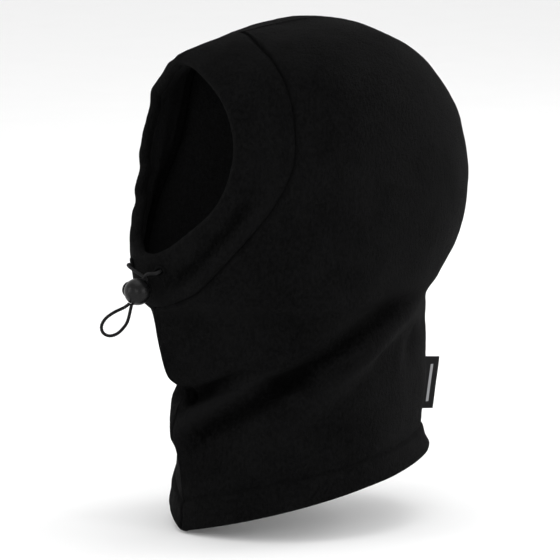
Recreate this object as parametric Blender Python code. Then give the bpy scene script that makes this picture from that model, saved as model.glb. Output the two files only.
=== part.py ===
"""Fleece balaclava with a gathered face band and a ball cord lock.

Row frame: metres, +Z up, face towards -Y, the wearer's left at +X. The origin is the middle of the
head cavity. Every panel edge lies on the plane x = 0 or on the seam of the face band.
"""
import math

import bmesh
import bpy
from mathutils import Matrix, Vector

MM = 0.001

# Cloth
FLEECE = 2.4 * MM                # thickness of one layer
BAND_PLY = 2.2 * MM              # one layer of the face band, pulled a little thinner
HEM_PLIES = 2.0                  # the hem is the same cloth, turned up inside
GAP = 0.3 * MM                   # between pieces that touch on the real thing
SEAM_GAP = 0.9 * MM              # between the band and the panels' edges, along the face

# Hood outline, one row for each rib. A rib runs round the side, from the front edge to the back seam:
# front x, y, z, then back y, z, then half width, point and lift, all but point in millimetres. Point
# narrows the front of a rib to a blunt fold, and lift raises its middle. Rib 0 is where the face band
# meets the crown seam, ribs 0 to 11 start on the band, and the others on the front seam.
RIBS = (
    (0, -43, 98, -43, 98, 0, 0, 0),
    (24, -48, 94, -18, 101.5, 26, 0, 0),
    (50, -50, 82, 15, 103.5, 55, 0, 0),
    (65, -50, 64.5, 47, 97.5, 72, 0, 0),
    (72, -50.6, 41.5, 81, 79, 81, 0, 0),
    (75, -54, 21, 106, 48, 84, 0, 0),
    (73, -65, -0.5, 118, 12, 85, 0, 0),
    (67, -76, -17, 116, -20, 85, 0, 0),
    (55, -89, -37, 107, -46, 83, 0.1, 0),
    (38, -101, -58, 96, -62, 81, 0.3, 0),
    (19, -108.5, -68.5, 89, -70, 80, 0.6, 0),
    (0, -109.5, -73.5, 86, -73, 79, 0.85, 0),
    (0, -107, -92, 85, -75, 79, 0.95, 0),
    (0, -100, -117, 84.5, -78, 78, 0.95, 0),
    (0, -88, -128, 84, -83, 74, 0.95, 0),
    (0, -93, -141, 84, -90, 74, 0.95, 2),
    (0, -95, -157, 84.5, -102, 76, 0.95, 5),
    (0, -91, -178, 85.5, -128, 76, 0.85, 8),
    (0, -89, -200, 80.5, -160, 76, 0.4, 10),
    (0, -91, -219, 87.5, -176, 78, 0.2, 10),
)
LAST_BAND_RIB = 11
HEM_TOP_RIB = 18
HEM_RIB = 19

# Edge of the face opening, one point for each of ribs 0 to 11
OPENING = (
    (0, -88.5, 85.5),
    (14, -88.5, 83),
    (33, -86.5, 70.5),
    (46, -84.8, 56),
    (54, -84.5, 37),
    (55.5, -87.5, 20),
    (51, -92, 3.5),
    (44, -98, -9),
    (33, -107, -21.5),
    (22, -113.5, -31),
    (11, -117.5, -36.5),
    (0, -119, -38),
)
BAND_ROLL = 4.0 * MM             # outer radius of the folded edge, the tunnel of the drawcord
BAND_AT_SEAM = 4.8 * MM          # two layers and the gap between them
BAND_CROWN = 1.6 * MM            # how far the band swells between its seam and its edge

# Seam allowances inside
RIDGE_WIDTH = 5.0 * MM
RIDGE_HEIGHT = 2.6 * MM
RIDGE_BACK = 1.8 * MM            # from the face seam to its overlock
FRONT_RIDGE_WIDTH = 3.0 * MM
KEEL_ROOM = 2.6 * MM             # from the panels to the front overlock, behind the folded seam
STITCH_RADIUS = 0.4 * MM

# Drawcord and its way out
CORD_RADIUS = 1.1 * MM
HOLE_RIB = 9.8                   # where the buttonholes are, along the band and across it
HOLE_ACROSS = 0.68
HOLE_RADIUS = 2.5 * MM
HOLE_STITCH = 0.35 * MM          # the thread that rims a buttonhole
HOLE_RIM_AROUND = 4.1 * MM       # half the rim's length round the band, and across it
HOLE_RIM_ACROSS = 3.2 * MM
STRAND_START = 2 * GAP           # a strand starts this far out of the hole
BARTACK_HALF = 0.68 * MM
BARTACK_RADIUS = 1.2 * MM

# Cord lock: a ball on the two cords, with a sprung plunger across it
BALL_RADIUS = 8.5 * MM
BALL_CENTRE = Vector((6.5, -125.6, -59.4)) * MM
CORD_AXIS = Vector((0, -0.57, -0.82)).normalized()
CORD_SIDE = Vector((0, -0.82, 0.57)).normalized()      # from one cord to the other inside the ball
CORD_SPREAD = 1.3 * MM
CORD_HOLE_RADIUS = 2.7 * MM
PLUNGER_RADIUS = 3.9 * MM
PLUNGER_BORE = 4.2 * MM
BORE_FLOOR = 6.0 * MM
STEM_END = 3.4 * MM
STEM_SLOT_RADIUS = 2.6 * MM
BUTTON_RADIUS = 5.2 * MM
BUTTON_TOP = 11.2 * MM
BUTTON_UNDER = 9.0 * MM
SLOT_SHIFT = 0.8 * MM            # the plunger's slot lies this far out, half its own travel
SPRING_RADIUS = 2.8 * MM
SPRING_WIRE = 0.18 * MM
SPRING_TURNS = 2.0

# Free loop below the ball, in the plane through the ball's centre: y and z from there, in millimetres
LOOP = (
    (-10.2, -9.2), (-17.1, -11.4), (-23.1, -14.6), (-26.2, -19.0), (-25.2, -23.4),
    (-20.8, -25.9), (-15.2, -25.2), (-10.4, -21.9), (-7.2, -17.6),
)

# Flag label in the back seam, in the plane x = 0: root top, outer top, outer bottom, root bottom
LABEL = ((87.2, -124.0), (110.0, -126.6), (104.8, -160.8), (81.8, -158.6))
LABEL_PLY = 0.4 * MM
LABEL_FOLD = 0.15 * MM           # half the gap between its two plies

# Fineness of the meshes
PANEL_COLUMNS = 14

FLEECE_BLACK = (0.012, 0.012, 0.013)


def clear_scene():
    for thing in list(bpy.data.objects):
        bpy.data.objects.remove(thing, do_unlink=True)


def material(name, colour, roughness, metallic=0.0):
    made = bpy.data.materials.new(name)
    made.use_nodes = True
    shader = made.node_tree.nodes["Principled BSDF"]
    shader.inputs["Base Color"].default_value = (*colour, 1.0)
    shader.inputs["Roughness"].default_value = roughness
    shader.inputs["Metallic"].default_value = metallic
    made.diffuse_color = (*colour, 1.0)
    return made


def spline(rows, place, mirror=False):
    """The smooth curve through rows of numbers, at a fractional row number. With mirror, it crosses
    the plane x = 0 squarely at both ends."""
    last = len(rows) - 1
    place = min(max(place, 0.0), float(last))
    i = min(int(place), last - 1)
    f = place - i
    a, b, c, d = (rows[min(max(i + k, 0), last)] for k in (-1, 0, 1, 2))
    if i == 0:
        a = (-c[0], *c[1:]) if mirror else [2 * p - q for p, q in zip(b, c)]
    if i == last - 1:
        d = (-b[0], *b[1:]) if mirror else [2 * q - p for p, q in zip(b, c)]
    return [
        0.5 * (2 * q + (r - p) * f + (2 * p - 5 * q + 4 * r - s) * f * f
               + (3 * q - p - 3 * r + s) * f ** 3)
        for p, q, r, s in zip(a, b, c, d)
    ]


SEAM = [row[:3] for row in RIBS[:LAST_BAND_RIB + 1]]


def hood_point(rib, across):
    """A point of the hood's outer face: across is 0 at its front edge and 1 at the back seam."""
    fx, fy, fz, by, bz, width, point, lift = spline(RIBS, rib)
    if rib <= LAST_BAND_RIB:
        fx, fy, fz = spline(SEAM, rib, mirror=True)
    else:
        fx = 0.0
    fx = max(fx, 0.0)
    width = max(width, fx * 1.01, 0.01)
    start = 0.0
    for _ in range(12):
        power = 1 + point * (1 + math.cos(start)) / 2
        start = math.asin(min(1.0, (fx / width) ** (1 / power)))
    turn = start + (math.pi - start) * across
    along = (math.cos(start) - math.cos(turn)) / (1 + math.cos(start))
    power = 1 + point * (1 + math.cos(turn)) / 2
    x = width * max(math.sin(turn), 0.0) ** power
    z = fz + (bz - fz) * along + lift * math.sin(turn) * (1 + 0.35 * math.cos(turn))
    return Vector((x, fy + (by - fy) * along, z)) * MM


def hood_normal(rib, across):
    """Outward, and in the plane x = 0 on the centre seams."""
    step = 0.004
    middle = max(rib, 0.06)
    above, below = max(middle - 0.04, 0.02), min(middle + 0.04, HEM_RIB)
    before, after = max(across - step, 0.0), min(across + step, 1.0)
    down = hood_point(below, across) - hood_point(above, across)
    back = hood_point(middle, after) - hood_point(middle, before)
    normal = down.cross(back)
    if across >= 1 or (across <= 0 and rib >= LAST_BAND_RIB):
        normal.x = 0.0
    return normal.normalized()


def mirrored(point, side):
    return Vector((point.x * side, point.y, point.z))


def make(name, points, faces, look, smooth=True):
    """A closed mesh, with its faces turned outwards."""
    mesh = bpy.data.meshes.new(name)
    built = bmesh.new()
    verts = [built.verts.new(p) for p in points]
    for face in faces:
        corners = [verts[i] for i in face]
        if len(set(corners)) > 2:
            built.faces.new(corners)
    bmesh.ops.remove_doubles(built, verts=built.verts, dist=1e-6)
    bmesh.ops.dissolve_degenerate(built, dist=1e-7, edges=built.edges)
    bmesh.ops.recalc_face_normals(built, faces=built.faces)
    if built.calc_volume(signed=True) < 0:
        bmesh.ops.reverse_faces(built, faces=built.faces)
    built.to_mesh(mesh)
    built.free()
    thing = bpy.data.objects.new(name, mesh)
    bpy.context.collection.objects.link(thing)
    mesh.materials.append(look)
    if smooth:
        mesh.shade_smooth()
        mesh.set_sharp_from_angle(angle=math.radians(50))
    return thing


def strip_of_rings(rings, cyclic_path, cyclic_ring=True):
    """Faces that join rings of points, one after the other; open paths get end caps."""
    count = len(rings[0])
    points = [p for ring in rings for p in ring]
    faces = []
    steps = len(rings) if cyclic_path else len(rings) - 1
    for i in range(steps):
        j = (i + 1) % len(rings)
        for k in range(count if cyclic_ring else count - 1):
            m = (k + 1) % count
            faces.append((i * count + k, i * count + m, j * count + m, j * count + k))
    if not cyclic_path:
        faces.append(tuple(range(count))[::-1])
        faces.append(tuple((len(rings) - 1) * count + k for k in range(count)))
    return points, faces


# ---- hood panels

def panel_rows():
    """Rib numbers of the panel's rows, closer where the chin and the hem turn."""
    rows = [0.04, 0.2, 0.5, 0.9]
    rows += [1.35 + 0.65 * i for i in range(15)]
    rows += [11.0, 11.5, 12.0, 12.5, 13.0, 13.4, 13.8, 14.2, 14.7, 15.3, 16.0, 17.0]
    return rows


def band_places():
    """Places round the band, at the same ribs as the panels' rows, so that the two edges match."""
    left = [r for r in panel_rows() if r < LAST_BAND_RIB]
    return [0.0] + left + [float(LAST_BAND_RIB)] + [2 * LAST_BAND_RIB - r for r in left[::-1]]


def hood_panel(name, side, look):
    """One half: outer face, inner face, and the rim that joins them; the hem is two layers thick."""
    columns = [i / PANEL_COLUMNS for i in range(PANEL_COLUMNS + 1)]
    levels = [(r, FLEECE) for r in panel_rows()]
    levels += [(HEM_TOP_RIB, FLEECE), (HEM_TOP_RIB + 0.02, FLEECE * HEM_PLIES)]
    levels += [(18.5, FLEECE * HEM_PLIES), (18.85, FLEECE * HEM_PLIES)]
    outer, inner = [], []
    for rib, depth in levels:
        for c in columns:
            point, normal = hood_point(rib, c), hood_normal(rib, c)
            if c <= 0 and rib <= LAST_BAND_RIB:
                below = rib == LAST_BAND_RIB
                forward = (hood_point(rib + 0.1, 0.0) if below else hood_point(rib, 0.02)) - point
                point = point + forward.normalized() * SEAM_GAP / 2
            inside = point - normal * depth
            if c >= 1 or (c <= 0 and rib >= LAST_BAND_RIB):
                point.x = inside.x = GAP / 2
            point.x, inside.x = max(point.x, GAP / 2), max(inside.x, GAP / 2)
            outer.append(mirrored(point, side))
            inner.append(mirrored(inside, side))
    count = len(columns)
    total = len(levels)
    bottom = []
    for c in columns:
        point, normal = hood_point(HEM_RIB, c), hood_normal(HEM_RIB, c)
        point = point - normal * FLEECE * HEM_PLIES / 2
        point.x = max(point.x, GAP / 2)
        if c in (0.0, 1.0):
            point.x = GAP / 2
        bottom.append(mirrored(point, side))
    points = outer + inner + bottom
    size = total * count
    faces = []
    for i in range(total - 1):
        for k in range(count - 1):
            a, b, c, d = i * count + k, i * count + k + 1, (i + 1) * count + k + 1, (i + 1) * count + k
            faces.append((a, b, c, d))
            faces.append((size + a, size + d, size + c, size + b))
        for k in (0, count - 1):
            a, d = i * count + k, (i + 1) * count + k
            faces.append((a, d, size + d, size + a))
    for k in range(count - 1):
        faces.append((k, k + 1, size + k + 1, size + k))
        last = (total - 1) * count + k
        low = 2 * size + k
        faces.append((last, last + 1, low + 1, low))
        faces.append((size + last, low, low + 1, size + last + 1))
    for k in (0, count - 1):
        last = (total - 1) * count + k
        faces.append((last, 2 * size + k, size + last))
    return make(name, points, faces, look)


# ---- face band

def seam_point(rib):
    return hood_point(rib, 0.0)


def edge_point(rib):
    return Vector(spline(OPENING, rib, mirror=True)) * MM


def band_frame(place):
    """At a place round the band, from 0 at the top to 11 below on the left and on to 22: its seam
    point, the directions across the band and out of it, and its width."""
    side = 1.0 if place <= LAST_BAND_RIB else -1.0
    rib = place if side > 0 else 2 * LAST_BAND_RIB - place
    low, high = max(rib - 0.15, 0.0), min(rib + 0.15, float(LAST_BAND_RIB))
    seam, edge = seam_point(rib), edge_point(rib)
    middle = [(seam_point(r) + edge_point(r)) / 2 for r in (low, high)]
    around = middle[1] - middle[0]
    if rib <= 0.001 or rib >= LAST_BAND_RIB - 0.001:
        around = Vector((1, 0, 0)) if rib < 1 else Vector((-1, 0, 0))
    across = (edge - seam).normalized()
    out = across.cross(around).normalized()
    if out.dot(Vector((0.2, -0.6, 0.3))) < 0 and out.dot(seam + edge) < 0:
        out = -out
    return (mirrored(seam, side), mirrored(across, side), mirrored(out, side), (edge - seam).length)


def band_point(place, across, depth):
    """A point of the band: across is 0 at the seam and 1 at the folded edge, depth is below its face."""
    seam, along, out, width = band_frame(place)
    swell = BAND_CROWN * 4 * across * (1 - across)
    return seam + along * (width * across) + out * (swell - depth)


def tunnel_gap(share):
    """Room between the band's two layers, at a share of the way from its seam to its fold."""
    eased = min(1.0, share / 0.6)
    eased = eased * eased * (3 - 2 * eased)
    return (BAND_AT_SEAM - 2 * BAND_PLY) * (1 - eased) + 2 * (BAND_ROLL - BAND_PLY) * eased


def seam_slope(place):
    """How far the panel leans under the band, for each unit below their faces."""
    side = 1.0 if place <= LAST_BAND_RIB else -1.0
    rib = place if side > 0 else 2 * LAST_BAND_RIB - place
    _, along, out, _ = band_frame(place)
    panel_normal = mirrored(hood_normal(max(rib, 0.5), 0.0), side)
    return max(0.0, -panel_normal.dot(along)) / max(0.3, panel_normal.dot(out))


def band_at(place, length, depth):
    """A point of the folded strip, at a length from its seam; its cut end leans away from the panel."""
    seam, along, out, width = band_frame(place)
    length = max(length, SEAM_GAP / 2 + depth * seam_slope(place))
    share = min(length / (width - BAND_ROLL), 1.0)
    swell = BAND_CROWN * 4 * share * (1 - share)
    return seam + along * length + out * (swell - depth)


def band_section(place):
    """The folded strip cut across: out along the face, round the fold, back inside, then the tunnel."""
    reach = band_frame(place)[3] - BAND_ROLL
    start = SEAM_GAP / 2
    shares = (0.0, 0.25, 0.5, 0.75, 1.0)
    lengths = [start + (reach - start) * f for f in shares]
    fold = [math.radians(a) for a in (36, 72, 108, 144)]
    hollow = BAND_ROLL - BAND_PLY
    ring = [band_at(place, n, 0.0) for n in lengths]
    ring += [band_at(place, reach + BAND_ROLL * math.sin(a), BAND_ROLL * (1 - math.cos(a))) for a in fold]
    ring += [band_at(place, n, 2 * BAND_PLY + tunnel_gap(f)) for n, f in zip(lengths[::-1], shares[::-1])]
    ring += [band_at(place, n, BAND_PLY + tunnel_gap(f)) for n, f in zip(lengths, shares)]
    ring += [band_at(place, reach + hollow * math.sin(a), BAND_ROLL - hollow * math.cos(a))
             for a in fold[::-1]]
    ring += [band_at(place, n, BAND_PLY) for n in lengths[::-1]]
    return ring


def cutter(name, centre, axis, radius, length, sides=24):
    """A hidden cylinder for a Boolean."""
    mesh = bpy.data.meshes.new(name)
    built = bmesh.new()
    bmesh.ops.create_cone(built, cap_ends=True, segments=sides, radius1=radius, radius2=radius, depth=length)
    built.to_mesh(mesh)
    built.free()
    thing = bpy.data.objects.new(name, mesh)
    bpy.context.collection.objects.link(thing)
    thing.location = centre
    thing.rotation_euler = axis.to_track_quat("Z", "Y").to_euler()
    thing.hide_render = True
    thing.display_type = "WIRE"
    return thing


def cut(thing, tool):
    step = thing.modifiers.new("cut", "BOOLEAN")
    step.operation = "DIFFERENCE"
    step.solver = "EXACT"
    step.object = tool


def face_band(look):
    points, faces = strip_of_rings([band_section(p) for p in band_places()], cyclic_path=True)
    band = make("face_band", points, faces, look)
    for number, place in enumerate((HOLE_RIB, 2 * LAST_BAND_RIB - HOLE_RIB)):
        out = band_frame(place)[2]
        tool = cutter(f"hole_{number}", band_point(place, HOLE_ACROSS, BAND_PLY / 2), out, HOLE_RADIUS,
                      BAND_PLY + 1.6 * MM, 16)
        cut(band, tool)
    return band


# ---- seam allowances and stitches

def ridge_ring(point, inward, sideways, width, height):
    half = width / 2
    outline = ((-half, 0), (-half, 0.6), (-half * 0.5, 1), (half * 0.5, 1), (half, 0.6), (half, 0))
    return [point + sideways * a + inward * (b * height) for a, b in outline]


def face_seam_overlock(look):
    """The raised ridge inside: the allowance of the face seam, turned back on to the panels."""
    rings = []
    for place in band_places():
        side = 1.0 if place <= LAST_BAND_RIB else -1.0
        rib = place if side > 0 else 2 * LAST_BAND_RIB - place
        rib = min(max(rib, 0.9), LAST_BAND_RIB - 0.35)
        seam = band_frame(place)[0]
        normal = mirrored(hood_normal(rib, 0.0), side)
        back = mirrored(hood_point(rib, 0.04) - hood_point(rib, 0.0), side)
        if place in (0.0, float(LAST_BAND_RIB)):
            normal.x = back.x = 0.0
        back = (back - normal * back.dot(normal)).normalized()
        base = seam + back * (RIDGE_BACK + RIDGE_WIDTH / 2) - normal.normalized() * (BAND_AT_SEAM + 2 * GAP)
        rings.append(ridge_ring(base, -normal.normalized(), back, RIDGE_WIDTH, RIDGE_HEIGHT))
    points, faces = strip_of_rings(rings, cyclic_path=True)
    return make("face_seam_overlock", points, faces, look)


def seam_ridge(name, route, depth, width, look):
    """A ridge under a centre seam: route is a list of points and normals in the plane x = 0."""
    rings = []
    for point, normal in route:
        base = Vector((0, point.y, point.z)) - normal * depth
        rings.append(ridge_ring(base, -normal, Vector((1, 0, 0)), width, RIDGE_HEIGHT))
    points, faces = strip_of_rings(rings, cyclic_path=False)
    return make(name, points, faces, look)


def crown_back_overlock(look):
    ribs = [r for r in panel_rows() if r > 1.2]
    route = [(hood_point(r, 1.0), hood_normal(r, 1.0)) for r in ribs]
    return seam_ridge("crown_back_overlock", route, FLEECE + 1.5 * GAP, RIDGE_WIDTH, look)


def front_overlock(look):
    ribs = [r for r in panel_rows() if r > LAST_BAND_RIB + 0.7]
    route = [(hood_point(r, 0.0), hood_normal(r, 0.0)) for r in ribs]
    return seam_ridge("front_overlock", route, FLEECE + KEEL_ROOM, FRONT_RIDGE_WIDTH, look)


def tube(name, points, radius, look, cyclic=False, resolution=2):
    curve = bpy.data.curves.new(name, "CURVE")
    curve.dimensions = "3D"
    curve.bevel_depth = radius
    curve.bevel_resolution = resolution
    curve.use_fill_caps = not cyclic
    line = curve.splines.new("POLY")
    line.points.add(len(points) - 1)
    for slot, point in zip(line.points, points):
        slot.co = (*point, 1.0)
    line.use_cyclic_u = cyclic
    curve.materials.append(look)
    thing = bpy.data.objects.new(name, curve)
    bpy.context.collection.objects.link(thing)
    return thing


def hem_topstitch(look):
    steps = 2 * PANEL_COLUMNS
    ring = []
    for side in (1.0, -1.0):
        for i in range(steps):
            across = i / steps if side > 0 else 1 - i / steps
            point, normal = hood_point(HEM_TOP_RIB, across), hood_normal(HEM_TOP_RIB, across)
            ring.append(mirrored(point + normal * (STITCH_RADIUS + GAP), side))
    return tube("hem_topstitch", ring, STITCH_RADIUS, look, cyclic=True, resolution=1)


def along_route(route, count):
    """Points at equal steps along the smooth curve through a route."""
    fine = [Vector(spline(route, (len(route) - 1) * i / 800)) for i in range(801)]
    lengths = [0.0]
    for a, b in zip(fine, fine[1:]):
        lengths.append(lengths[-1] + (b - a).length)
    points, j = [], 0
    for i in range(count):
        want = lengths[-1] * i / (count - 1)
        while j < len(lengths) - 2 and lengths[j + 1] < want:
            j += 1
        share = (want - lengths[j]) / max(lengths[j + 1] - lengths[j], 1e-12)
        points.append(fine[j].lerp(fine[j + 1], min(share, 1.0)))
    return points


# ---- drawcord

def tunnel_point(place):
    seam, along, out, width = band_frame(place)
    return seam + along * (width - BAND_ROLL) - out * BAND_ROLL


def hole_exit(side):
    """Where a cord leaves the band, just proud of its face."""
    point = band_point(HOLE_RIB, HOLE_ACROSS, -0.4 * MM)
    return mirrored(point, side)


def tunnel_cord(name, side, look):
    route = [tunnel_point(0.18 + 8.82 * i / 26) for i in range(27)]
    route.append(band_point(9.35, 0.82, BAND_ROLL))
    route.append(band_point(9.64, 0.73, BAND_ROLL))
    route.append(band_point(HOLE_RIB - 0.01, HOLE_ACROSS, 3.2 * MM))
    route.append(band_point(HOLE_RIB, HOLE_ACROSS, 1.2 * MM))
    route.append(hole_exit(1.0))
    points = along_route([tuple(p) for p in route], 70)
    return tube(name, [mirrored(p, side) for p in points], CORD_RADIUS, look)


def cord_end_bartack(look):
    """The short bar of thread that holds the two cord ends in the fold, at the top."""
    middle = tunnel_point(0.0)
    _, along, out, _ = band_frame(0.0)
    turns = [math.tau * i / 8 for i in range(8)]
    rings = []
    for end in (middle - Vector((BARTACK_HALF, 0, 0)), middle + Vector((BARTACK_HALF, 0, 0))):
        rings.append([end + (out * math.cos(a) + along * math.sin(a)) * BARTACK_RADIUS for a in turns])
    points, faces = strip_of_rings(rings, cyclic_path=False)
    return make("cord_end_bartack", points, faces, look)


def buttonhole(name, side, look):
    """The stitched rim round a slit, lying on the band's face."""
    _, along, out, _ = band_frame(HOLE_RIB)
    centre = band_point(HOLE_RIB, HOLE_ACROSS, -2 * HOLE_STITCH)
    around = along.cross(out)
    ring = []
    for i in range(20):
        a = math.tau * i / 20
        point = centre + around * (HOLE_RIM_AROUND * math.cos(a)) + along * (HOLE_RIM_ACROSS * math.sin(a))
        ring.append(mirrored(point, side))
    return tube(name, ring, HOLE_STITCH, look, cyclic=True, resolution=1)


def strand_route(side):
    """From a buttonhole, over the band's face and into the ball, one cord beside the other."""
    start = hole_exit(side)
    entry = BALL_CENTRE - CORD_AXIS * BALL_RADIUS + CORD_SIDE * (CORD_SPREAD * side)
    out = mirrored(band_frame(HOLE_RIB)[2], side)
    first = start + out * STRAND_START
    lift = start + out * (2.8 * MM) + (entry - start).normalized() * (1.2 * MM)
    knee = start.lerp(entry, 0.5) + Vector((0, -2.6, 1.0)) * MM
    through = [BALL_CENTRE + CORD_AXIS * (BALL_RADIUS * f) + CORD_SIDE * (CORD_SPREAD * side)
               + Vector((x * side, 0, 0)) * MM
               for f, x in ((-1.2, 1.2), (-0.85, 0.3), (-0.4, 0.0), (0.0, 0.0), (0.5, 0.0), (1.0, 0.0))]
    return [tuple(p) for p in [first, lift, knee] + through]


def cord_strand(name, side, look):
    return tube(name, along_route(strand_route(side), 24), CORD_RADIUS, look)


def loop_route():
    ends = [BALL_CENTRE + CORD_AXIS * (BALL_RADIUS + GAP) + CORD_SIDE * (CORD_SPREAD * s) for s in (1, -1)]
    beyond = [end + CORD_AXIS * (1.2 * MM) for end in ends]
    middle = [BALL_CENTRE + Vector((0, y, z)) * MM for y, z in LOOP]
    return [tuple(p) for p in [ends[0], beyond[0]] + middle + [beyond[1], ends[1]]]


def cord_loop(look):
    return tube("cord_loop", along_route(loop_route(), 40), CORD_RADIUS, look)


# ---- cord lock

def turned(name, outline, look, sides=28):
    """A body turned about the X axis through the ball's centre: outline is x, radius."""
    rings = []
    for x, radius in outline:
        rings.append([BALL_CENTRE + Vector((x, radius * math.cos(a), radius * math.sin(a)))
                      for a in [math.tau * i / sides for i in range(sides)]])
    points, faces = strip_of_rings(rings, cyclic_path=False)
    return make(name, points, faces, look)


def lock_barrel(look):
    rows = 14
    outline = []
    for i in range(1, rows):
        a = math.pi * i / rows
        outline.append((-BALL_RADIUS * math.cos(a), BALL_RADIUS * math.sin(a)))
    barrel = turned("lock_barrel", outline, look)
    reach = BORE_FLOOR + 12 * MM
    bore = cutter("plunger_bore", BALL_CENTRE + Vector((BORE_FLOOR - reach / 2, 0, 0)), Vector((1, 0, 0)),
                  PLUNGER_BORE, reach, 28)
    channel = cutter("cord_channel", BALL_CENTRE, CORD_AXIS, CORD_HOLE_RADIUS, 24 * MM, 20)
    cut(barrel, bore)
    cut(barrel, channel)
    return barrel


def lock_plunger(look):
    outline = (
        (-BUTTON_TOP, BUTTON_RADIUS * 0.35), (-BUTTON_TOP + 0.25 * MM, BUTTON_RADIUS * 0.75),
        (-BUTTON_TOP + 0.9 * MM, BUTTON_RADIUS), (-BUTTON_UNDER - 0.4 * MM, BUTTON_RADIUS),
        (-BUTTON_UNDER, BUTTON_RADIUS - 0.4 * MM), (-BUTTON_UNDER, PLUNGER_RADIUS),
        (STEM_END - 0.3 * MM, PLUNGER_RADIUS), (STEM_END, PLUNGER_RADIUS - 0.3 * MM),
    )
    plunger = turned("lock_plunger", outline, look)
    slot = bpy.data.meshes.new("cord_slot")
    built = bmesh.new()
    sides, depth = 10, 14 * MM
    outline = []
    for end in (1, -1):
        for i in range(sides + 1):
            a = end * math.pi / 2 - math.pi * i / sides
            x = (end - 1) * SLOT_SHIFT + STEM_SLOT_RADIUS * math.cos(a)
            outline.append((x, STEM_SLOT_RADIUS * math.sin(a)))
    low = [built.verts.new(BALL_CENTRE + Vector((x, 0, 0)) + CORD_SIDE * s - CORD_AXIS * depth / 2)
           for x, s in outline]
    high = [built.verts.new(BALL_CENTRE + Vector((x, 0, 0)) + CORD_SIDE * s + CORD_AXIS * depth / 2)
            for x, s in outline]
    built.faces.new(low)
    built.faces.new(high[::-1])
    for i in range(len(low)):
        j = (i + 1) % len(low)
        built.faces.new((low[j], low[i], high[i], high[j]))
    bmesh.ops.recalc_face_normals(built, faces=built.faces)
    built.to_mesh(slot)
    built.free()
    tool = bpy.data.objects.new("cord_slot", slot)
    bpy.context.collection.objects.link(tool)
    tool.hide_render = True
    tool.display_type = "WIRE"
    cut(plunger, tool)
    return plunger


def lock_spring(look):
    """A short coil between the stem's end and the floor of the bore."""
    first = STEM_END + GAP + SPRING_WIRE
    last = BORE_FLOOR - GAP - SPRING_WIRE
    steps = int(SPRING_TURNS * 14)
    points = []
    for i in range(steps + 1):
        a = math.tau * SPRING_TURNS * i / steps
        x = first + (last - first) * i / steps
        points.append(BALL_CENTRE + Vector((x, SPRING_RADIUS * math.cos(a), SPRING_RADIUS * math.sin(a))))
    return tube("lock_spring", points, SPRING_WIRE, look, resolution=1)


# ---- label

def flag_label(look):
    """A ribbon folded at its outer edge; both ends lie in the back seam."""
    root_top, outer_top, outer_bottom, root_bottom = (Vector((0, y, z)) * MM for y, z in LABEL)
    half = LABEL_PLY + LABEL_FOLD
    rings = []
    for i in range(5):
        f = i / 4
        root = root_top.lerp(root_bottom, f)
        tip = outer_top.lerp(outer_bottom, f)
        out = (tip - root).normalized()
        bend = tip - out * half
        ring = [root + Vector((half, 0, 0)), bend + Vector((half, 0, 0))]
        ring += [bend + out * (half * math.sin(a)) + Vector((half * math.cos(a), 0, 0))
                 for a in (math.radians(45), math.radians(90), math.radians(135))]
        ring += [bend - Vector((half, 0, 0)), root - Vector((half, 0, 0))]
        ring += [root - Vector((LABEL_FOLD, 0, 0)), bend - Vector((LABEL_FOLD, 0, 0))]
        ring += [bend + Vector((LABEL_FOLD, 0, 0)), root + Vector((LABEL_FOLD, 0, 0))]
        rings.append(ring)
    points, faces = strip_of_rings(rings, cyclic_path=False)
    return make("flag_label", points, faces, look, smooth=False)


def hang(thing, pivot):
    """Moves a piece's origin to its joint axis, and leaves the piece where it is."""
    thing.data.transform(Matrix.Translation(-pivot))
    thing.location = pivot


def main():
    clear_scene()
    fleece = material("fleece", FLEECE_BLACK, 0.95)
    band_fleece = material("band_fleece", FLEECE_BLACK, 0.95)
    overlock = material("overlock_thread", (0.02, 0.02, 0.021), 0.8)
    thread = material("stitch_thread", (0.016, 0.016, 0.017), 0.7)
    elastic = material("elastic_cord", (0.014, 0.014, 0.015), 0.75)
    plastic = material("lock_plastic", (0.018, 0.018, 0.019), 0.38)
    steel = material("spring_steel", (0.55, 0.55, 0.57), 0.3, 1.0)
    satin = material("label_satin", (0.015, 0.015, 0.017), 0.45)
    hood_panel("hood_panel_left", 1.0, fleece)
    hood_panel("hood_panel_right", -1.0, fleece)
    face_band(band_fleece)
    face_seam_overlock(overlock)
    crown_back_overlock(overlock)
    front_overlock(overlock)
    hem_topstitch(thread)
    tunnel_cord("drawcord_left", 1.0, elastic)
    tunnel_cord("drawcord_right", -1.0, elastic)
    cord_end_bartack(thread)
    buttonhole("buttonhole_left", 1.0, thread)
    buttonhole("buttonhole_right", -1.0, thread)
    swing = hole_exit(1.0) + band_frame(HOLE_RIB)[2] * STRAND_START
    swing.x = 0.0
    strands = (cord_strand("cord_strand_left", 1.0, elastic), cord_strand("cord_strand_right", -1.0, elastic))
    for piece in (*strands, cord_loop(elastic)):
        hang(piece, swing)
    for piece in (lock_barrel(plastic), lock_plunger(plastic), lock_spring(steel)):
        hang(piece, BALL_CENTRE)
    hang(flag_label(satin), Vector((0, LABEL[0][0], LABEL[0][1])) * MM)


main()
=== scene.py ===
"""The visible balaclava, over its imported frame. Metres, +Z up, face towards -Y, wearer's left at +X."""
import math

import bmesh
import bpy
import numpy as np
from mathutils import Matrix, Vector, noise


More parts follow.
